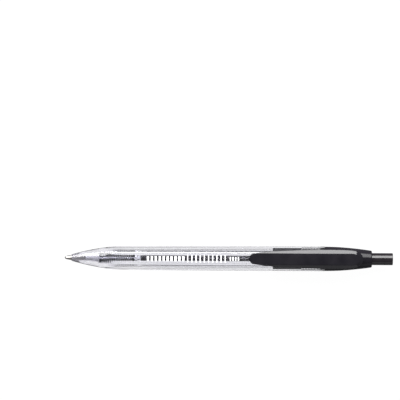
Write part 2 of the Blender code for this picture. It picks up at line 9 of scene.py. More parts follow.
import bmesh
import bpy
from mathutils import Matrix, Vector


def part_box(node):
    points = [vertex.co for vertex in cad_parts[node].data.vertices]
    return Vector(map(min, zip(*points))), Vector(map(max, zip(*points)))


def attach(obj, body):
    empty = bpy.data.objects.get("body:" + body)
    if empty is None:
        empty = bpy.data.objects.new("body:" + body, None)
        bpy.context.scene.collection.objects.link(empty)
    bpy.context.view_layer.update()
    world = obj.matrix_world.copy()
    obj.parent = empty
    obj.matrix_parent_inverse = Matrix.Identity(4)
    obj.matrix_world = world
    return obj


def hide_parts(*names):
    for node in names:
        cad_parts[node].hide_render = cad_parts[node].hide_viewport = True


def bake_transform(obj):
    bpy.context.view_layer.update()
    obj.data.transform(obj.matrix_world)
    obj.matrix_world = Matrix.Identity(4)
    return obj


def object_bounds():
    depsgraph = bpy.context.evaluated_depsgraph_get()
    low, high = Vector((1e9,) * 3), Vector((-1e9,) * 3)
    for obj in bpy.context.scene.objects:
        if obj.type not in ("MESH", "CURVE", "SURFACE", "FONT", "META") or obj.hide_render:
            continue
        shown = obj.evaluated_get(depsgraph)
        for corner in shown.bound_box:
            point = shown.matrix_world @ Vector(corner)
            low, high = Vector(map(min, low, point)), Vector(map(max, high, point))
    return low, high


MM = 0.001

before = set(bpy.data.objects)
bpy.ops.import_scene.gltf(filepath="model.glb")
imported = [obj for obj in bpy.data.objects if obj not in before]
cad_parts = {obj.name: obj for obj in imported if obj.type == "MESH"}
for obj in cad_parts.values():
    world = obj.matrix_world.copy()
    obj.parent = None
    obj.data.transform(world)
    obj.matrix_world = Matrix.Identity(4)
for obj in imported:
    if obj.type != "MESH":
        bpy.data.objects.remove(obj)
cad_low, cad_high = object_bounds()

TIP_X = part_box("tip_ball")[0].x
AXIS_Z = (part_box("tip_ball")[0].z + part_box("tip_ball")[1].z) / 2

# Hexagonal section of the barrel and the cap
CORNER_RADIUS = 1.2
HALF_CORNERS = 5.3
HALF_CORNERS_GRIP = 5.085
GRIP_START = 24.5
GRIP_END = 58.5
FLAT_STEPS = 12
ARC_STEPS = 10
EDGE_STRIP = 0.04
CREASE = 0.22

# Barrel
NOSE_RIM = 3.0
NOSE_RIM_RADIUS = 1.45
NOSE_END = 27.0
NOSE_END_RADIUS = 5.25
NOSE_FULLNESS = 1.78
NOSE_LIP = 0.05
NOSE_RUNOUT = 2.0
NOSE_RUNOUT_SLOPE = 0.2
NOSE_HAZE = 0.11
NOSE_HAZE_LENGTH = 9.0
BARREL_END = 112.6
BARREL_LIP = 0.12
BORE_RADIUS = 3.45
SEAT_RADIUS = 3.78

# Cap
CAP_START = 112.65
CAP_END = 132.9
CAP_END_RADIUS = 3.62
CAP_TAPER = 1.8
CAP_RIM_ROUND = 0.5

# Clip
CLIP_START = 79.7
CLIP_END = 129.0
CLIP_FRONT_ROUND = 2.0
CLIP_REAR_ROUND = 3.4
CLIP_FACE_HALF = 2.45
CLIP_BEVEL_FALL = 0.66
CLIP_BEVEL_WIDTH = 1.75
CLIP_REAR_BEVEL = 1.5
CLIP_LEAST_BEVEL = 0.15
CLIP_CROWN = 0.1
CLIP_LIP = 0.12
CLIP_SIDE_HEIGHT = 0.3
CLIP_SIDE_ROUND = 0.25
CLIP_WALL = 1.0
CLIP_ROOF = 1.6
HOLLOW_START = 88.0
HOLLOW_RISE = 4.0
HOLLOW_END = 120.5
HOLLOW_FALL = 3.0
CLIP_PLAN = [(79.7, 2.1), (88.8, 3.2), (101.8, 3.96), (114.0, 4.2), (124.0, 3.9), (129.0, 3.0)]
CLIP_TOP = [(79.7, 6.9), (84.0, 7.4), (94.0, 8.1), (106.0, 8.6), (116.0, 8.6), (125.0, 8.0), (129.0, 7.1)]
CLIP_BOTTOM = [(79.7, 6.2), (90.0, 5.95), (104.0, 5.6), (114.0, 5.0), (121.0, 4.2), (129.0, 3.3)]
CLIP_GAP = 0.12
FOOT_STATION = 83.8
FOOT_HALF_LENGTH = 1.6
FOOT_HALF_WIDTH = 1.65
FOOT_GAP = 0.16
FOOT_TOP = 6.45
FOOT_SQUARENESS = 0.35
FOOT_STEPS = 40

# Sleeve
SLEEVE_FRONT = 90.0
SLEEVE_END = 126.3
SLEEVE_BORE = 2.65
RIDGES = 8
RIDGE_START = 103.0
RIDGE_PITCH = 1.2
RIDGE_TOP = 3.79
RIDGE_ROOT = 3.44

# Spring
WIRE_RADIUS = 0.25
COIL_RADIUS = 2.05
COILS = 20
CLOSED_COILS = 1.5
CLOSED_GAP = 0.02
SPRING_FRONT = 14.95
SPRING_REAR = 30.15

# Printed bars, by group: start, count, width, gap, half height
PRINT_GROUPS = [(35.6, 10, 0.9, 0.8, 1.05), (53.0, 10, 0.45, 1.35, 1.6), (71.4, 4, 0.5, 0.65, 0.85)]
PRINT_SHIFT = 0.15
PRINT_BOTTOM = 0.004
PRINT_TOP = 0.016

ROUND_STEPS = 96


def place(station, y, z):
    """Point in the scene from a station, a width and a height above the axis."""
    return Vector((TIP_X + station * MM, y * MM, AXIS_Z + z * MM))


def smooth_through(points, station):
    """Value at a station on a smooth curve through (station, value) points."""
    at = min(max(station, points[0][0]), points[-1][0])
    for i in range(len(points) - 1):
        if at <= points[i + 1][0]:
            break
    x0, y0 = points[i]
    x1, y1 = points[i + 1]
    before = points[max(i - 1, 0)]
    after = points[min(i + 2, len(points) - 1)]
    slope0 = (y1 - before[1]) / (x1 - before[0])
    slope1 = (after[1] - y0) / (after[0] - x0)
    width = x1 - x0
    t = (at - x0) / width
    return (
        (2 * t**3 - 3 * t**2 + 1) * y0
        + (t**3 - 2 * t**2 + t) * width * slope0
        + (3 * t**2 - 2 * t**3) * y1
        + (t**3 - t**2) * width * slope1
    )


def spread(start, end, steps):
    """Evenly spaced values from start to end, both included."""
    return [start + (end - start) * i / steps for i in range(steps + 1)]


def soft_min(a, b, blend):
    """The lesser of two values, rounded off over a blend width where they meet."""
    near = max(blend - abs(a - b), 0.0) / blend
    return min(a, b) - near * near * blend / 4


# ---------------------------------------------------------------- meshes


def finish_mesh(name, bm, sharp=40.0):
    """Object made from the mesh, smooth but for edges sharper than the given degrees."""
    bmesh.ops.recalc_face_normals(bm, faces=bm.faces)
    mesh = bpy.data.meshes.new(name)
    bm.to_mesh(mesh)
    bm.free()
    mesh.shade_smooth()
    mesh.set_sharp_from_angle(angle=radians(sharp))
    piece = bpy.data.objects.new(name, mesh)
    bpy.context.scene.collection.objects.link(piece)
    return piece


def skin(name, rings, loop=False, caps=True, sharp=40.0):
    """Skin through rings of as many points each. loop joins the last ring to the first."""
    bm = bmesh.new()
    rows = [[bm.verts.new(point) for point in ring] for ring in rings]
    count = len(rows[0])
    pairs = list(zip(rows, rows[1:]))
    if loop:
        pairs.append((rows[-1], rows[0]))
    for near, far in pairs:
        for i in range(count):
            j = (i + 1) % count
            bm.faces.new((near[i], near[j], far[j], far[i]))
    if caps and not loop:
        bm.faces.new(rows[0])
        bm.faces.new(rows[-1])
    return finish_mesh(name, bm, sharp)


def filleted(profile, closed=False, steps=4):
    """Profile of (station, radius) or (station, radius, rounding) points, with its corners rounded."""
    count = len(profile)
    result = []
    for i, corner in enumerate(profile):
        at = Vector(corner[:2])
        rounding = corner[2] if len(corner) > 2 else 0.0
        if rounding == 0.0 or (not closed and i in (0, count - 1)):
            result.append(tuple(at))
            continue
        before = Vector(profile[i - 1][:2]) - at
        after = Vector(profile[(i + 1) % count][:2]) - at
        reach = min(rounding, before.length * 0.49, after.length * 0.49)
        start = at + before.normalized() * reach
        end = at + after.normalized() * reach
        for k in range(steps + 1):
            t = k / steps
            result.append(tuple(start * (1 - t) ** 2 + at * 2 * t * (1 - t) + end * t**2))
    return result


def turned(name, profile, closed=False, steps=ROUND_STEPS, sharp=40.0, fillet_steps=4):
    """Solid of revolution about the pen's axis. An open profile starts and ends on the axis."""
    points = filleted(profile, closed, fillet_steps)
    bm = bmesh.new()
    rows = []
    for station, radius in points:
        if radius == 0.0:
            rows.append([bm.verts.new(place(station, 0.0, 0.0))])
            continue
        ring = []
        for i in range(steps):
            angle = 2 * pi * i / steps
            ring.append(bm.verts.new(place(station, radius * cos(angle), radius * sin(angle))))
        rows.append(ring)
    pairs = list(zip(rows, rows[1:]))
    if closed:
        pairs.append((rows[-1], rows[0]))
    for near, far in pairs:
        for i in range(steps):
            j = (i + 1) % steps
            if len(near) == 1:
                bm.faces.new((near[0], far[i], far[j]))
            elif len(far) == 1:
                bm.faces.new((near[i], near[j], far[0]))
            else:
                bm.faces.new((near[i], near[j], far[j], far[i]))
    return finish_mesh(name, bm, sharp)


# ---------------------------------------------------------------- materials


class Paint:
    """A material with its Principled shader, and short ways to add the nodes behind it."""

    def __init__(self, name):
        self.material = bpy.data.materials.new(name)
        self.material.use_nodes = True
        self.tree = self.material.node_tree
        self.shader = self.tree.nodes["Principled BSDF"]
        self.coordinates = self.tree.nodes.new("ShaderNodeTexCoord").outputs["Object"]

    def set(self, **values):
        """Set plain values on the shader's sockets."""
        for name, value in values.items():
            socket = self.shader.inputs[name.replace("_", " ")]
            socket.default_value = value

    def link(self, source, target):
        self.tree.links.new(source, target)

    def stretched(self, scale):
        """The object's own coordinates, scaled along each axis."""
        mapping = self.tree.nodes.new("ShaderNodeMapping")
        mapping.inputs["Scale"].default_value = scale
        self.link(self.coordinates, mapping.inputs["Vector"])
        return mapping.outputs["Vector"]

    def noise(self, scale, detail=3.0, roughness=0.5, stretch=(1.0, 1.0, 1.0)):
        """Noise from 0 to 1. A stretch under 1 draws it out along that axis."""
        node = self.tree.nodes.new("ShaderNodeTexNoise")
        node.inputs["Scale"].default_value = scale
        node.inputs["Detail"].default_value = detail
        node.inputs["Roughness"].default_value = roughness
        self.link(self.stretched(stretch), node.inputs["Vector"])
        return node.outputs["Fac"]

    def ranged(self, value, low, high, to_low, to_high):
        """The value's range low to high, mapped to another range and held at its ends."""
        node = self.tree.nodes.new("ShaderNodeMapRange")
        node.inputs["From Min"].default_value = low
        node.inputs["From Max"].default_value = high
        node.inputs["To Min"].default_value = to_low
        node.inputs["To Max"].default_value = to_high
        self.link(value, node.inputs["Value"])
        return node.outputs["Result"]

    def added(self, a, b):
        """Sum of two node values."""
        node = self.tree.nodes.new("ShaderNodeMath")
        self.link(a, node.inputs[0])
        self.link(b, node.inputs[1])
        return node.outputs["Value"]

    def mixed(self, factor, colour_a, colour_b):
        """Colour between two, by the factor."""
        node = self.tree.nodes.new("ShaderNodeMix")
        node.data_type = "RGBA"
        self.link(factor, node.inputs["Factor"])
        node.inputs["A"].default_value = (*colour_a, 1.0)
        node.inputs["B"].default_value = (*colour_b, 1.0)
        return node.outputs["Result"]

    def bump(self, height, strength, distance):
        """Fine relief on the surface."""
        node = self.tree.nodes.new("ShaderNodeBump")
        node.inputs["Strength"].default_value = strength
        node.inputs["Distance"].default_value = distance
        self.link(height, node.inputs["Height"])
        self.link(node.outputs["Normal"], self.shader.inputs["Normal"])

    def let_lamps_through(self, colour):
        """Light from lamps passes unbent, dimmed by the colour at each surface."""
        path = self.tree.nodes.new("ShaderNodeLightPath")
        clear = self.tree.nodes.new("ShaderNodeBsdfTransparent")
        clear.inputs["Color"].default_value = (*colour, 1.0)
        mix = self.tree.nodes.new("ShaderNodeMixShader")
        self.link(path.outputs["Is Shadow Ray"], mix.inputs["Fac"])
        self.link(self.shader.outputs["BSDF"], mix.inputs[1])
        self.link(clear.outputs["BSDF"], mix.inputs[2])
        self.link(mix.outputs["Shader"], self.tree.nodes["Material Output"].inputs["Surface"])

    def scratches(self, amount):
        """Fine lengthwise rub marks, 0 to amount."""
        fine = self.noise(900.0, 2.0, stretch=(0.06, 1.0, 1.0))
        return self.ranged(fine, 0.62, 0.78, 0.0, amount)


def moulded_black(name, dark, pale, roughness, scratch, gloss=0.5):
    """Polished moulded plastic with a faint orange peel, rub marks and a little dust."""
    paint = Paint(name)
    patches = paint.ranged(paint.noise(160.0, 4.0), 0.35, 0.7, 0.0, 1.0)
    paint.link(paint.mixed(patches, dark, pale), paint.shader.inputs["Base Color"])
    marks = paint.scratches(scratch)
    base = paint.ranged(paint.noise(420.0, 3.0), 0.3, 0.7, roughness * 0.8, roughness * 1.25)
    paint.link(paint.added(base, marks), paint.shader.inputs["Roughness"])
    paint.bump(paint.noise(1500.0, 2.0), 0.12, 0.02 * MM)
    paint.set(IOR=1.5, Specular_IOR_Level=gloss)
    return paint.material


def clear_plastic(name):
    """Clear polystyrene, greyer and a little hazy towards the nose's rim.

    Light from lamps passes it unbent, so what it holds is lit.
    """
    paint = Paint(name)
    split = paint.tree.nodes.new("ShaderNodeSeparateXYZ")
    paint.link(paint.coordinates, split.inputs["Vector"])
    along = split.outputs["X"]
    rim = TIP_X + NOSE_RIM * MM
    shade = paint.ranged(along, rim, TIP_X + NOSE_END * MM, 0.0, 0.8)
    patches = paint.ranged(paint.noise(60.0, 2.0), 0.3, 0.7, 0.0, 0.2)
    paint.link(
        paint.mixed(paint.added(shade, patches), (0.66, 0.65, 0.7), (0.95, 0.95, 0.975)),
        paint.shader.inputs["Base Color"],
    )
    clear = paint.ranged(along, rim, rim + NOSE_HAZE_LENGTH * MM, 1.0 - NOSE_HAZE, 1.0)
    paint.link(clear, paint.shader.inputs["Transmission Weight"])
    paint.set(IOR=1.59, Roughness=0.0)
    paint.bump(paint.noise(260.0, 2.0), 0.03, 0.01 * MM)
    paint.let_lamps_through((0.9, 0.895, 0.92))
    return paint.material


def pale_plastic(name, colour_a, colour_b, roughness, see_through, coat=0.0):
    """Natural, translucent plastic with faint flow lines along the pen."""
    paint = Paint(name)
    flow = paint.ranged(paint.noise(350.0, 3.0, stretch=(0.15, 1.0, 1.0)), 0.3, 0.7, 0.0, 1.0)
    paint.link(paint.mixed(flow, colour_a, colour_b), paint.shader.inputs["Base Color"])
    uneven = paint.ranged(paint.noise(500.0, 2.0), 0.3, 0.7, roughness * 0.8, roughness * 1.3)
    paint.link(uneven, paint.shader.inputs["Roughness"])
    paint.bump(paint.noise(1200.0, 2.0), 0.08, 0.01 * MM)
    paint.set(IOR=1.5, Transmission_Weight=see_through, Coat_Weight=coat, Coat_Roughness=0.13)
    if see_through > 0.9:
        paint.let_lamps_through((0.92, 0.92, 0.93))
    return paint.material


def turned_metal(name, colour_a, colour_b, roughness, ring_scale, ring_depth):
    """Bright metal with the fine rings that a lathe or a drawing die leaves."""
    paint = Paint(name)
    tone = paint.ranged(paint.noise(900.0, 3.0), 0.3, 0.7, 0.0, 1.0)
    paint.link(paint.mixed(tone, colour_a, colour_b), paint.shader.inputs["Base Color"])
    rings = paint.noise(ring_scale, 2.0, stretch=(1.0, 0.02, 0.02))
    rough = paint.ranged(rings, 0.3, 0.7, roughness * 0.75, roughness * 1.3)
    paint.link(rough, paint.shader.inputs["Roughness"])
    paint.bump(rings, 0.25, ring_depth)
    paint.set(Metallic=1.0)
    return paint.material


def wet_ink(name):
    """Black ink behind the tube's wall, slightly streaked along the pen."""
    paint = Paint(name)
    streaks = paint.ranged(paint.noise(600.0, 4.0, stretch=(0.3, 1.0, 1.0)), 0.35, 0.7, 0.0, 1.0)
    paint.link(
        paint.mixed(streaks, (0.004, 0.004, 0.006), (0.012, 0.011, 0.014)),
        paint.shader.inputs["Base Color"],
    )
    rough = paint.ranged(paint.noise(450.0, 2.0), 0.3, 0.7, 0.16, 0.28)
    paint.link(rough, paint.shader.inputs["Roughness"])
    paint.bump(paint.noise(800.0, 2.0), 0.1, 0.01 * MM)
    paint.set(IOR=1.45)
    return paint.material


def printed_white(name):
    """Pad-printed ink: flat white, a little thin and uneven."""
    paint = Paint(name)
    cover = paint.ranged(paint.noise(2500.0, 3.0), 0.35, 0.65, 0.0, 1.0)
    paint.link(
        paint.mixed(cover, (0.86, 0.86, 0.86), (0.93, 0.93, 0.93)),
        paint.shader.inputs["Base Color"],
    )
    rough = paint.ranged(paint.noise(1800.0, 2.0), 0.3, 0.7, 0.4, 0.6)
    paint.link(rough, paint.shader.inputs["Roughness"])
    paint.bump(paint.noise(4000.0, 2.0), 0.15, 0.005 * MM)
    return paint.material


def dress(piece, material, body, slot, *nodes):
    """Give a piece its material and its moving body, and hide the CAD nodes it replaces. The slot is not
    used.
    """
    piece.data.materials.append(material)
    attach(piece, body)
    if nodes:
        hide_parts(*nodes)


# ---------------------------------------------------------------- barrel and cap


def section_angles():
    """Polar angles round the hexagon: close together on the corner arcs, spread over the flats."""
    reach = HALF_CORNERS - CORNER_RADIUS
    arc_ends = []
    for turn in spread(-pi / 6, pi / 6, ARC_STEPS):
        y = reach + CORNER_RADIUS * cos(turn)
        z = CORNER_RADIUS * sin(turn)
        arc_ends.append(asin(z / hypot(y, z)))
    flat_width = pi / 3 - 2 * arc_ends[-1]
    flat = [EDGE_STRIP] + [i / FLAT_STEPS for i in range(1, FLAT_STEPS)] + [1 - EDGE_STRIP]
    sector = arc_ends + [arc_ends[-1] + flat_width * share for share in flat]
    return [corner * pi / 3 + angle for corner in range(6) for angle in sector]


ANGLES = section_angles()


def flat_height(half_corners):
    """Distance from the axis to the hexagon's flats."""
    return (half_corners - CORNER_RADIUS) * cos(pi / 6) + CORNER_RADIUS


def hexagon_radius(angle, half_corners):
    """Distance from the axis to the rounded hexagon, whose corners lie at multiples of 60 degrees."""
    reach = half_corners - CORNER_RADIUS
    off_corner = (angle + pi / 6) % (pi / 3) - pi / 6
    off_flat = abs(abs(off_corner) - pi / 6)
    straight = flat_height(half_corners) / cos(off_flat)
    half_flat = reach * sin(pi / 6)
    if straight * sin(off_flat) <= half_flat:
        return straight
    return reach * cos(off_corner) + sqrt(CORNER_RADIUS**2 - (reach * sin(off_corner)) ** 2)


def half_corners_at(station):
    """Half the barrel's width across its corners, which grows along the grip."""
    share = min(max((station - GRIP_START) / (GRIP_END - GRIP_START), 0.0), 1.0)
    return HALF_CORNERS_GRIP + (HALF_CORNERS - HALF_CORNERS_GRIP) * share


def nose_radius(station):
    """Ogive that the nose is turned to."""
    t = min((station - NOSE_RIM) / (NOSE_END - NOSE_RIM), 1.0)
    rise = NOSE_END_RADIUS - NOSE_RIM_RADIUS
    return NOSE_RIM_RADIUS + rise * (1 - (1 - t) ** NOSE_FULLNESS)


def cap_radius(station):
    """Taper that the rear of the cap is turned to."""
    t = max((station - BARREL_END) / (CAP_END - BARREL_END), 0.0)
    return HALF_CORNERS - (HALF_CORNERS - CAP_END_RADIUS) * t**CAP_TAPER


def ring_at(station, radius_at_angle):
    """Ring of points at a station, one for each of the section's angles."""
    return [
        place(station, radius_at_angle(angle) * cos(angle), radius_at_angle(angle) * sin(angle))
        for angle in ANGLES
    ]


def round_ring(station, radius):
    """Circle with the points of the hexagon's rings, so that both can be skinned together."""
    return ring_at(station, lambda angle: radius)


def barrel_ring(station):
    """Outside of the barrel: the hexagon, cut down to the ogive where the nose is thinner."""
    half_corners = half_corners_at(station)
    if station >= NOSE_END + NOSE_RUNOUT:
        return ring_at(station, lambda angle: hexagon_radius(angle, half_corners))
    nose = nose_radius(station) + max(station - NOSE_END, 0.0) * NOSE_RUNOUT_SLOPE
    return ring_at(
        station, lambda angle: soft_min(hexagon_radius(angle, half_corners), nose, CREASE)
    )


def build_barrel(material):
    """Clear tube with a turned nose, in one closed skin: along the outside and back through the bore."""
    outer = [NOSE_RIM + NOSE_LIP]
    outer += spread(NOSE_RIM + 0.4, NOSE_END + 2.2, 110)
    outer += spread(30.5, BARREL_END - BARREL_LIP, 24)
    rings = [round_ring(NOSE_RIM, NOSE_RIM_RADIUS - NOSE_LIP)]
    rings += [barrel_ring(station) for station in outer]
    rings.append(ring_at(BARREL_END, lambda angle: hexagon_radius(angle, HALF_CORNERS) - BARREL_LIP))
    bore = [
        (BARREL_END, SEAT_RADIUS + BARREL_LIP),
        (BARREL_END - BARREL_LIP, SEAT_RADIUS),
        (102.7, SEAT_RADIUS),
        (102.4, BORE_RADIUS),
        (102.3, BORE_RADIUS),
        (22.5, BORE_RADIUS),
        (21.8, 3.44),
        (21.0, 3.36),
        (14.9, 2.52),
        (14.7, 2.45),
        (14.7, 2.4),
        (14.7, 1.8),
        (14.68, 1.75),
        (14.5, 1.75),
        (11.6, 1.75),
        (11.5, 1.73),
        (11.15, 1.33),
        (11.0, 1.3),
        (NOSE_RIM + 0.04, 1.3),
        (NOSE_RIM, 1.33),
    ]
    rings += [round_ring(station, radius) for station, radius in bore]
    barrel = skin("barrel_shell", rings, loop=True, sharp=50.0)
    dress(barrel, material, "barrel", "clear_plastic", "barrel")


def cap_ring(station, inset=0.0):
    """Outside of the cap: the hexagon, cut down to the rear taper."""
    taper = cap_radius(station)
    return ring_at(
        station,
        lambda angle: soft_min(hexagon_radius(angle, HALF_CORNERS), taper, CREASE) - inset,
    )


def build_cap(material):
    """Cap in one closed skin: along the outside, round the rear rim and back through the bore."""
    edge = 0.08
    rings = [cap_ring(CAP_START, edge), cap_ring(CAP_START + edge)]
    rings += [cap_ring(station) for station in spread(CAP_START + 0.4, CAP_END - CAP_RIM_ROUND, 70)]
    straight_end = CAP_END - CAP_RIM_ROUND
    rim_radius = cap_radius(straight_end) - CAP_RIM_ROUND
    for turn in spread(pi / 2, 0.0, 8)[1:]:
        radius = rim_radius + CAP_RIM_ROUND * sin(turn)
        rings.append(round_ring(straight_end + CAP_RIM_ROUND * cos(turn), radius))
    for station, radius in [
        (CAP_END, 2.82),
        (CAP_END - 0.05, 2.7),
        (CAP_END - 0.2, 2.65),
        (126.64, 2.65),
        (126.54, 2.65),
        (126.54, 3.7),
        (126.44, 3.76),
        (CAP_START + 0.1, 3.76),
        (CAP_START, 3.86),
    ]:
        rings.append(round_ring(station, radius))
    cap = skin("cap_shell", rings, loop=True, sharp=50.0)
    dress(cap, material, "barrel", "black_cap", "tail_cap")


# ---------------------------------------------------------------- clip


def cap_top(y, station):
    """Height of the cap's or the barrel's upper surface at a width."""
    flat = flat_height(HALF_CORNERS)
    side = 2 * (flat - abs(y) * cos(pi / 6))
    round_height = sqrt(max(cap_radius(station) ** 2 - y**2, 0.0))
    return min(flat, side, round_height)


def clip_round_end(station):
    """Share of the clip's width that its rounded ends leave at a station."""
    from_front = min(station - CLIP_START, CLIP_FRONT_ROUND)
    from_rear = min(CLIP_END - station, CLIP_REAR_ROUND)
    front = sqrt(1 - (1 - from_front / CLIP_FRONT_ROUND) ** 2)
    rear = sqrt(1 - (1 - from_rear / CLIP_REAR_ROUND) ** 2)
    return front * rear


def hollow_share(station):
    """1 where the clip's underside is hollow, 0 near its ends."""
    rise = min(max((station - HOLLOW_START) / HOLLOW_RISE, 0.0), 1.0)
    fall = min(max((HOLLOW_END - station) / HOLLOW_FALL, 0.0), 1.0)
    share = min(rise, fall)
    return share * share * (3 - 2 * share)


def clip_ring(station):
    """One section of the clip: over its flat top, down its bevels and back along its underside.

    The face ends in a half round, and the bevel runs on round behind it.
    """
    rounding = clip_round_end(station)
    half_plan = smooth_through(CLIP_PLAN, station) * rounding
    face_round_start = CLIP_END - CLIP_REAR_BEVEL - CLIP_REAR_ROUND
    past = max(station - face_round_start, 0.0) * CLIP_FACE_HALF / CLIP_REAR_ROUND
    round_half = sqrt(max(CLIP_FACE_HALF**2 - past**2, 0.0))
    half_face = max(min(half_plan - CLIP_LEAST_BEVEL * rounding, round_half), 0.05 * rounding)
    face_reach = hypot(past, half_face)
    crown = min(rounding, half_face) * CLIP_CROWN
    lip = min(CLIP_LIP * rounding, 0.3 * half_face)
    face_top = smooth_through(CLIP_TOP, station)
    top = face_top - max(past - CLIP_FACE_HALF, 0.0) * CLIP_BEVEL_FALL
    edge = top - crown
    bottom = smooth_through(CLIP_BOTTOM, station)
    rim = max(bottom, cap_top(half_plan, station) + CLIP_GAP)
    lowest = max(face_top - crown - CLIP_BEVEL_WIDTH * CLIP_BEVEL_FALL, rim + CLIP_SIDE_HEIGHT)

    half = []
    for share in (0.0, 0.3, 0.6, 0.85):
        half.append(((half_face - lip) * share, top - crown * share**2))
    half.append((half_face - lip, edge + crown * 0.15))
    half.append((half_face - lip / 3, edge))
    bevel = []
    for y in spread(half_face + lip / 3, half_plan, 4):
        bevel.append((y, max(edge - (hypot(past, y) - face_reach) * CLIP_BEVEL_FALL, lowest)))
    half += bevel[:3]
    half += filleted([bevel[3], (*bevel[4], CLIP_SIDE_ROUND), (half_plan, rim + 0.12)], steps=6)
    half.append((half_plan - 0.03, rim + 0.03))

    inner = half_plan - min(CLIP_WALL, half_plan * 0.45)
    roof_rise = max(top - CLIP_ROOF - bottom, 0.0) * hollow_share(station)
    under = [(half_plan - 0.12, rim)]
    under.append((inner, max(bottom, cap_top(inner, station) + CLIP_GAP)))
    for share in (0.97, 0.8, 0.5, 0.0):
        y = inner * share
        lift = roof_rise if share < 0.9 else roof_rise * 0.5
        under.append((y, max(bottom + lift, cap_top(y, station) + CLIP_GAP)))
    right = half + under
    left = [(-y, z) for y, z in reversed(right) if y > 0.0]
    return [place(station, y, z) for y, z in right + left]


def build_clip(material):
    """Clip and, under its front end, the foot that grips the cloth. Sections crowd at both ends."""
    sliver = 0.02
    middle = (CLIP_START + CLIP_END) / 2
    reach = (CLIP_END - CLIP_START) / 2 - sliver
    steps = 110
    stations = [middle - reach * cos(pi * i / steps) for i in range(steps + 1)]
    clip = skin("clip_body", [clip_ring(s) for s in stations], sharp=32.0)
    dress(clip, material, "clip", "black_clip", "clip")

    low = flat_height(HALF_CORNERS) + FOOT_GAP
    rings = []
    for height, grow in [(low, -0.32), (low + 0.1, -0.1), (low + 0.32, 0.0), (FOOT_TOP, 0.05)]:
        ring = []
        for i in range(FOOT_STEPS):
            angle = 2 * pi * i / FOOT_STEPS
            along = abs(cos(angle)) ** FOOT_SQUARENESS * (1 if cos(angle) > 0 else -1)
            across = abs(sin(angle)) ** FOOT_SQUARENESS * (1 if sin(angle) > 0 else -1)
            x = FOOT_STATION + (FOOT_HALF_LENGTH + grow) * along
            ring.append(place(x, (FOOT_HALF_WIDTH + grow) * across, height))
        rings.append(ring)
    foot = skin("clip_foot", rings, sharp=60.0)
    dress(foot, material, "clip", "black_clip")


# ---------------------------------------------------------------- button and click mechanism


def build_button(material):
    """Button with a slightly dished end, a stop shoulder and a hollow skirt round the cam."""
    button = turned(
        "button_body",
        [
            (141.9, 0.0),
            (141.93, 1.2),
            (142.0, 2.1, 0.2),
            (141.96, 2.6, 0.5),
            (136.0, 2.6),
            (121.2, 2.6, 0.1),
            (121.2, 2.95, 0.15),
            (119.8, 2.95, 0.15),
            (119.8, 2.1, 0.1),
            (111.9, 2.1, 0.1),
            (111.9, 1.25, 0.1),
            (136.0, 1.25, 0.3),
            (136.0, 0.0),
        ],
        fillet_steps=6,
    )
    dress(button, material, "button", "black_button", "push_button")


def build_sleeve(material):
    """Black insert between barrel and cap, with gripping ridges."""
    profile = [(SLEEVE_END, 3.05), (SLEEVE_END, 3.72, 0.15), (BARREL_END, RIDGE_TOP, 0.1)]
    for i in reversed(range(RIDGES)):
        start = RIDGE_START + i * RIDGE_PITCH
        profile.append((start + 0.62, RIDGE_ROOT, 0.1))
        profile.append((start + 0.4, RIDGE_TOP, 0.1))
        profile.append((start + 0.1, RIDGE_TOP, 0.1))
        profile.append((start, RIDGE_ROOT, 0.05))
    profile += [(102.75, 3.46, 0.1), (SLEEVE_FRONT, 3.46, 0.12)]
    profile += [(SLEEVE_FRONT, SLEEVE_BORE, 0.12), (104.6, SLEEVE_BORE), (105.0, 3.05)]
    sleeve = turned("sleeve_body", profile, closed=True, fillet_steps=3)
    dress(sleeve, material, "barrel", "black_sleeve", "guide_sleeve")


# ---------------------------------------------------------------- refill and spring


def build_point(metal, ball_metal):
    """Ball, and the turned metal point whose socket wraps it."""
    ball_radius = 0.5
    ball_profile = [
        (ball_radius + ball_radius * cos(turn), ball_radius * sin(turn)) for turn in spread(0.0, pi, 16)
    ]
    ball_profile[0] = (2 * ball_radius, 0.0)
    ball_profile[-1] = (0.0, 0.0)
    ball = turned("writing_ball", ball_profile, steps=32)
    dress(ball, ball_metal, "ball", "ball_metal", "tip_ball")

    socket = 0.53
    rim_turn = asin((ball_radius - 0.36) / socket)
    profile = [
        (12.5, 0.0),
        (12.5, 0.7, 0.1),
        (9.1, 0.7),
        (9.1, 0.95, 0.05),
        (8.75, 0.95, 0.05),
        (8.7, 1.15, 0.03),
        (2.9, 1.15, 0.25),
        (0.62, 0.68, 0.15),
        (0.36, 0.58, 0.03),
    ]
    for turn in spread(-rim_turn, pi / 2, 8)[:-1]:
        profile.append((ball_radius + socket * sin(turn), socket * cos(turn)))
    profile.append((ball_radius + socket, 0.0))
    cone = turned("point_cone", profile, steps=64)
    dress(cone, metal, "refill", "tip_metal", "tip_cone")


def build_neck(material):
    """Holder between the point and the tube, with the flange that the spring pushes on."""
    neck = turned(
        "neck_holder",
        [
            (32.8, 0.0),
            (32.8, 1.5, 0.15),
            (31.4, 1.5),
            (31.4, 2.25, 0.12),
            (30.4, 2.25, 0.12),
            (30.4, 1.65, 0.05),
            (14.7, 1.65, 0.2),
            (13.2, 1.6, 0.12),
            (13.2, 1.2, 0.05),
            (9.15, 1.2, 0.1),
            (9.15, 0.75),
            (12.55, 0.75),
            (12.55, 0.0),
        ],
        steps=64,
    )
    dress(neck, material, "refill", "neck_plastic", "refill_neck")


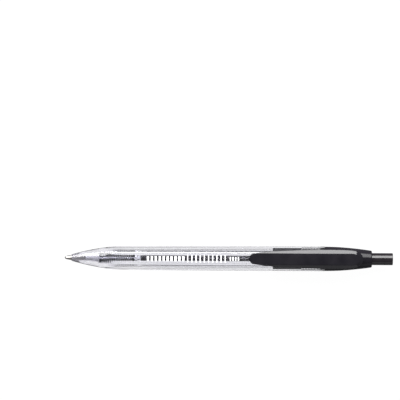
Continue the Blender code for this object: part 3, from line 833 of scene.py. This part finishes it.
def build_ink_tube(tube_plastic, ink, grease):
    """Tube, the ink in it and the plug of grease behind the ink."""
    tube = turned(
        "ink_tube",
        [(105.0, 1.55), (105.0, 2.0, 0.08), (31.45, 2.0, 0.08), (31.45, 1.55)],
        closed=True,
    )
    dress(tube, tube_plastic, "refill", "tube_plastic", "refill_tube")

    column = turned(
        "ink_fill",
        [(93.6, 0.0), (93.7, 0.9), (94.0, 1.58), (32.9, 1.58, 0.1), (32.9, 0.0)],
    )
    dress(column, ink, "refill", "ink", "ink_column")
    follower = turned(
        "grease_plug",
        [(96.5, 0.0), (96.35, 1.0), (96.1, 1.58), (94.05, 1.58), (93.75, 0.9), (93.65, 0.0)],
    )
    dress(follower, grease, "refill", "grease", "grease_follower")


def build_spring(material):
    """Coil with closed ends. It stretches between the barrel's seat and the refill's flange."""
    closed_pitch = 2 * WIRE_RADIUS + CLOSED_GAP
    open_coils = COILS - 2 * CLOSED_COILS
    open_pitch = (SPRING_REAR - SPRING_FRONT - 2 * CLOSED_COILS * closed_pitch) / open_coils
    per_coil = 36
    wire_steps = 12
    rings = []
    station = SPRING_FRONT
    for i in range(COILS * per_coil + 1):
        coil = i / per_coil
        angle = 2 * pi * coil
        outward = Vector((0.0, cos(angle), -sin(angle)))
        closed = coil < CLOSED_COILS or coil >= COILS - CLOSED_COILS
        pitch = closed_pitch if closed else open_pitch
        along = Vector((pitch, -2 * pi * COIL_RADIUS * sin(angle), -2 * pi * COIL_RADIUS * cos(angle)))
        across = along.normalized().cross(outward)
        centre = place(station, COIL_RADIUS * cos(angle), -COIL_RADIUS * sin(angle))
        ring = []
        for k in range(wire_steps):
            turn = 2 * pi * k / wire_steps
            ring.append(centre + (outward * cos(turn) + across * sin(turn)) * WIRE_RADIUS * MM)
        rings.append(ring)
        station += pitch / per_coil
    spring = skin("spring_coil", rings, sharp=60.0)
    spring.data.materials.append(material)
    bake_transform(spring)
    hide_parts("spring")


# ---------------------------------------------------------------- print


def build_print(material):
    """Plain white bars printed along the top flat, in place of lettering."""
    bars = []
    for start, count, width, gap, half_height in PRINT_GROUPS:
        for i in range(count):
            bars.append((start + i * (width + gap), width, half_height))
    bm = bmesh.new()
    for start, width, half_height in bars:
        flat = flat_height(half_corners_at(start))
        corners = []
        for z in (flat + PRINT_BOTTOM, flat + PRINT_TOP):
            for x, y in [(0, -1), (1, -1), (1, 1), (0, 1)]:
                corners.append(bm.verts.new(place(start + x * width, y * half_height - PRINT_SHIFT, z)))
        for face in [(0, 1, 2, 3), (4, 5, 6, 7), (0, 1, 5, 4), (1, 2, 6, 5), (2, 3, 7, 6), (3, 0, 4, 7)]:
            bm.faces.new([corners[i] for i in face])
    print_bars = finish_mesh("print_bars", bm)
    dress(print_bars, material, "barrel", "clear_plastic")


# ---------------------------------------------------------------- stage, light, camera


def build_stage():
    """Plain white floor just below the pen's rest face, left out of mirror-like reflections."""
    bm = bmesh.new()
    half = 3.0
    drop = 0.03 * MM
    corners = [(-half, -half), (half, -half), (half, half), (-half, half)]
    bm.faces.new([bm.verts.new((x, y, -drop)) for x, y in corners])
    floor = finish_mesh("floor", bm)
    paint = Paint("floor_white")
    paint.set(Base_Color=(0.03, 0.03, 0.03, 1.0), Roughness=0.9, Emission_Strength=0.985)
    paint.set(Emission_Color=(1.0, 1.0, 1.0, 1.0), Specular_IOR_Level=0.0)
    floor.data.materials.append(paint.material)
    floor.visible_glossy = False


def soft_box(name, location, width, height, power):
    """Rectangular lamp aimed at the origin, which neither the camera nor the clear plastic shows."""
    light = bpy.data.lights.new(name, "AREA")
    light.shape = "RECTANGLE"
    light.size = width
    light.size_y = height
    light.energy = power
    lamp = bpy.data.objects.new(name, light)
    bpy.context.scene.collection.objects.link(lamp)
    lamp.location = location
    origin = Vector((0.0, 0.0, 0.0))
    aim = origin - Vector(location)
    lamp.rotation_euler = aim.to_track_quat("-Z", "Y").to_euler()
    lamp.visible_camera = False
    lamp.visible_transmission = False
    return lamp


def build_light():
    """Dim even surroundings, a soft wall of light on the pen's +Y side and a faint one on its -Y side."""
    world = bpy.data.worlds.new("studio")
    world.use_nodes = True
    background = world.node_tree.nodes["Background"]
    background.inputs["Color"].default_value = (0.95, 0.95, 1.0, 1.0)
    background.inputs["Strength"].default_value = 0.2
    bpy.context.scene.world = world
    soft_box("back_box", (0.0, 0.622, 0.58), width=1.4, height=0.72, power=29.9)
    soft_box("front_box", (0.0, -0.8, 0.2), width=1.4, height=0.5, power=0.9)


def light_inside(piece, location, width, height, power):
    """A lamp for one piece inside the barrel alone: light as the barrel's wall would bend it there."""
    lamp = soft_box(f"box_for_{piece}", location, width, height, power)
    lamp.data.cycles.use_multiple_importance_sampling = False
    lit = bpy.data.collections.new(f"lit_{piece}")
    lit.objects.link(bpy.data.objects[piece])
    lamp.light_linking.receiver_collection = lit


def build_camera():
    """Long lens looking straight down, with the pen level and a little right of and below the middle."""
    lens = 300.0
    sensor = 36.0
    view_width = 173.2 * MM
    left = 12.6 * MM
    up = 25.2 * MM
    roll = 0.3
    distance = view_width / 2 / (sensor / 2 / lens)
    centre = (cad_low + cad_high) / 2
    camera_data = bpy.data.cameras.new("camera")
    camera_data.lens = lens
    camera_data.sensor_width = sensor
    camera_data.clip_start = 0.05
    camera_data.clip_end = 20.0
    camera = bpy.data.objects.new("camera", camera_data)
    bpy.context.scene.collection.objects.link(camera)
    camera.location = (centre.x - left, centre.y + up, distance + AXIS_Z)
    camera.rotation_euler = (0.0, 0.0, radians(roll))
    bpy.context.scene.camera = camera
    bpy.context.scene.view_settings.view_transform = "Standard"


def main():
    build_camera()
    build_stage()
    build_light()

    clear = clear_plastic("clear_barrel")
    cap_black = moulded_black("cap_black", (0.009, 0.008, 0.0105), (0.013, 0.012, 0.015), 0.11, 0.04, 0.2)
    clip_black = moulded_black("clip_black", (0.006, 0.0055, 0.008), (0.011, 0.01, 0.013), 0.09, 0.04)
    button_black = moulded_black("button_black", (0.008, 0.0065, 0.008), (0.014, 0.012, 0.014), 0.1, 0.04)
    sleeve_black = moulded_black("sleeve_black", (0.008, 0.008, 0.01), (0.013, 0.013, 0.015), 0.35, 0.1)
    cam_plastic = pale_plastic("cam_acetal", (0.7, 0.7, 0.68), (0.8, 0.8, 0.78), 0.4, 0.0)
    neck_plastic = pale_plastic("neck_natural", (0.45, 0.45, 0.48), (0.53, 0.53, 0.56), 0.2, 0.6)
    tube_plastic = pale_plastic("tube_natural", (0.93, 0.94, 0.96), (0.98, 0.98, 0.99), 0.06, 1.0, coat=1.0)
    grease = pale_plastic("grease_clear", (0.74, 0.7, 0.56), (0.84, 0.8, 0.66), 0.25, 0.3)
    nickel = turned_metal("nickel_silver", (0.46, 0.44, 0.42), (0.58, 0.56, 0.53), 0.16, 5000.0, 0.01 * MM)
    carbide = turned_metal("ball_carbide", (0.36, 0.36, 0.38), (0.46, 0.46, 0.48), 0.15, 3000.0, 0.002 * MM)
    # The spring's steel is painted far darker than steel is: painted shade that stands in for the dark
    # surroundings its coils reflect.
    shade_darkened_steel = turned_metal("spring_wire_painted_dark", (0.04, 0.04, 0.045), (0.07, 0.07, 0.08), 0.17, 4000.0, 0.005 * MM)
    ink = wet_ink("black_ink")

    build_barrel(clear)
    build_cap(cap_black)
    build_clip(clip_black)
    build_button(button_black)
    build_sleeve(sleeve_black)
    build_point(nickel, carbide)
    build_neck(neck_plastic)
    build_ink_tube(tube_plastic, ink, grease)
    build_spring(shade_darkened_steel)
    build_print(printed_white("print_white"))
    light_inside("ink_tube", (0.0, 0.05, 0.6), width=0.1, height=0.2, power=6.0)
    light_inside("spring_coil", (0.0, 0.01, 0.6), width=0.12, height=0.2, power=150.0)
    light_inside("neck_holder", (0.0, 0.0, 0.6), width=0.3, height=0.2, power=0.3)
    light_inside("point_cone", (0.0, 0.3, 0.52), width=0.3, height=0.12, power=0.05)
    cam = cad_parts["rotary_cam"]
    cam.data.materials.clear()
    cam.data.materials.append(cam_plastic)


main()
